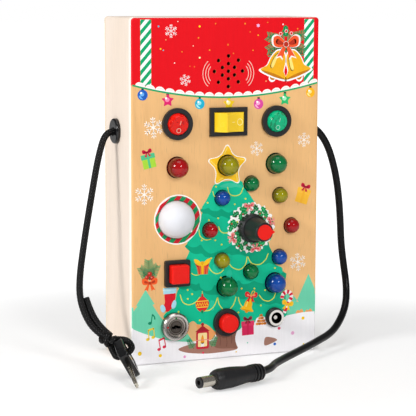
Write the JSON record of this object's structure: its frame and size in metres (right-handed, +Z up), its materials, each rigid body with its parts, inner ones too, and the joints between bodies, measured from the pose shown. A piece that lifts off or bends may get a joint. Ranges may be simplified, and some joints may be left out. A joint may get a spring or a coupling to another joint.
{
  "type": "busy board",
  "caption": "Small wooden activity box with rocker switches, lamps, push buttons, a knob, a key switch with a tethered key, and a power socket with a plug on a cord.",
  "frame": {"origin": "middle of the base face that the box stands on", "axes": "+Z up, the front with the controls faces -Y, +X to the right seen from the front"},
  "size_m": [0.1656, 0.1096, 0.18],
  "materials": {
    "birch_ply": "satin printed plywood",
    "pine_board": "sanded bare wood",
    "red_plastic": "glossy moulded",
    "yellow_plastic": "glossy moulded",
    "green_plastic": "glossy moulded",
    "black_plastic": "satin moulded",
    "opal_plastic": "smooth milky",
    "red_lens": "clear tinted lens",
    "yellow_lens": "clear tinted lens",
    "green_lens": "clear tinted lens",
    "blue_lens": "clear tinted lens",
    "chrome": "polished",
    "steel": "plated",
    "nickel": "plated",
    "board_laminate": "lacquered laminate",
    "component_black": "moulded",
    "cell_wrap": "shrunk sleeve",
    "wire_sleeve": "insulation",
    "black_rubber": "soft gloss",
    "cord_sheath": "smooth round sheath",
    "braid": "round braid",
    "speaker_steel": "black lacquer",
    "cone_paper": "pressed paper"
  },
  "bodies": {
    "root": {"front_panel": "birch_ply", "back_panel": "birch_ply", "left_side": "pine_board", "right_side": "pine_board", "top_board": "pine_board", "bottom_board": "pine_board", "back_screws": "steel", "battery_box": "black_plastic", "battery_cells": "cell_wrap", "battery_contacts": "steel", "circuit_board": "board_laminate", "board_spacers": "black_plastic", "board_screws": "steel", "board_components": "component_black", "speaker_frame": "speaker_steel", "speaker_cone": "cone_paper", "large_led_red": "red_lens", "large_led_yellow": "yellow_lens", "large_leds_green": "green_lens", "large_led_blue": "blue_lens", "small_leds_red": "red_lens", "small_leds_yellow": "yellow_lens", "small_leds_green": "green_lens", "small_leds_blue": "blue_lens", "led_leads": "steel", "dome_diffuser": "opal_plastic", "dome_lamp": "opal_plastic", "rocker_red_housing": "black_plastic", "rocker_green_housing": "black_plastic", "rocker_yellow_housing": "black_plastic", "switch_terminals": "nickel", "square_button_housing": "black_plastic", "round_button_housing": "black_plastic", "button_springs": "steel", "panel_nuts": "steel", "potentiometer_body": "steel", "key_switch_barrel": "chrome", "jack_body": "black_plastic", "jack_sleeve": "chrome", "grommets": "black_rubber", "stopper_knots": "cord_sheath", "key_tether": "braid", "tether_loop": "braid", "key_head": "black_plastic", "key_blade": "nickel", "plug_cord": "cord_sheath", "plug_body": "black_plastic", "plug_barrel": "nickel", "wires": "wire_sleeve"},
    "red_rocker": {"rocker_red": "red_plastic"},
    "yellow_rocker": {"rocker_yellow": "yellow_plastic"},
    "green_rocker": {"rocker_green": "green_plastic"},
    "square_cap": {"square_button": "red_plastic"},
    "round_cap": {"round_button": "red_plastic"},
    "volume_knob": {"knob": "black_plastic", "knob_cap": "red_plastic", "potentiometer_shaft": "steel"},
    "lock_cylinder": {"key_switch_cylinder": "chrome"},
    "battery_cover": {"battery_door": "black_plastic", "door_screw": "steel"}
  },
  "joints": [
    {"name": "red_rocker_tilt", "type": "hinge", "parent": "root", "child": "red_rocker", "pos_m": [-0.028, -0.02195, 0.1255], "axis": [-1, 0, 0], "range_deg": [0, 22]},
    {"name": "green_rocker_tilt", "type": "hinge", "parent": "root", "child": "green_rocker", "pos_m": [0.028, -0.02195, 0.1255], "axis": [-1, 0, 0], "range_deg": [0, 22]},
    {"name": "yellow_rocker_tilt", "type": "hinge", "parent": "root", "child": "yellow_rocker", "pos_m": [0.0006, -0.02005, 0.1259], "axis": [0, 0, -1], "range_deg": [0, 28]},
    {"name": "square_button_press", "type": "slide", "parent": "root", "child": "square_cap", "axis": [0, 1, 0], "range_m": [0, 0.002], "stiffness_N_per_m": 600, "springref_m": -0.002},
    {"name": "round_button_press", "type": "slide", "parent": "root", "child": "round_cap", "axis": [0, 1, 0], "range_m": [0, 0.002], "stiffness_N_per_m": 600, "springref_m": -0.002},
    {"name": "knob_turn", "type": "hinge", "parent": "root", "child": "volume_knob", "pos_m": [0.014, -0.02125, 0.0693], "axis": [0, 1, 0], "range_deg": [-240, 60]},
    {"name": "key_cylinder_turn", "type": "hinge", "parent": "root", "child": "lock_cylinder", "pos_m": [-0.0294, -0.02125, 0.0196], "axis": [0, 1, 0], "range_deg": [0, 90]},
    {"name": "battery_cover_release", "type": "slide", "parent": "root", "child": "battery_cover", "axis": [0, 1, 0], "range_m": [0, 0.02]}
  ]
}
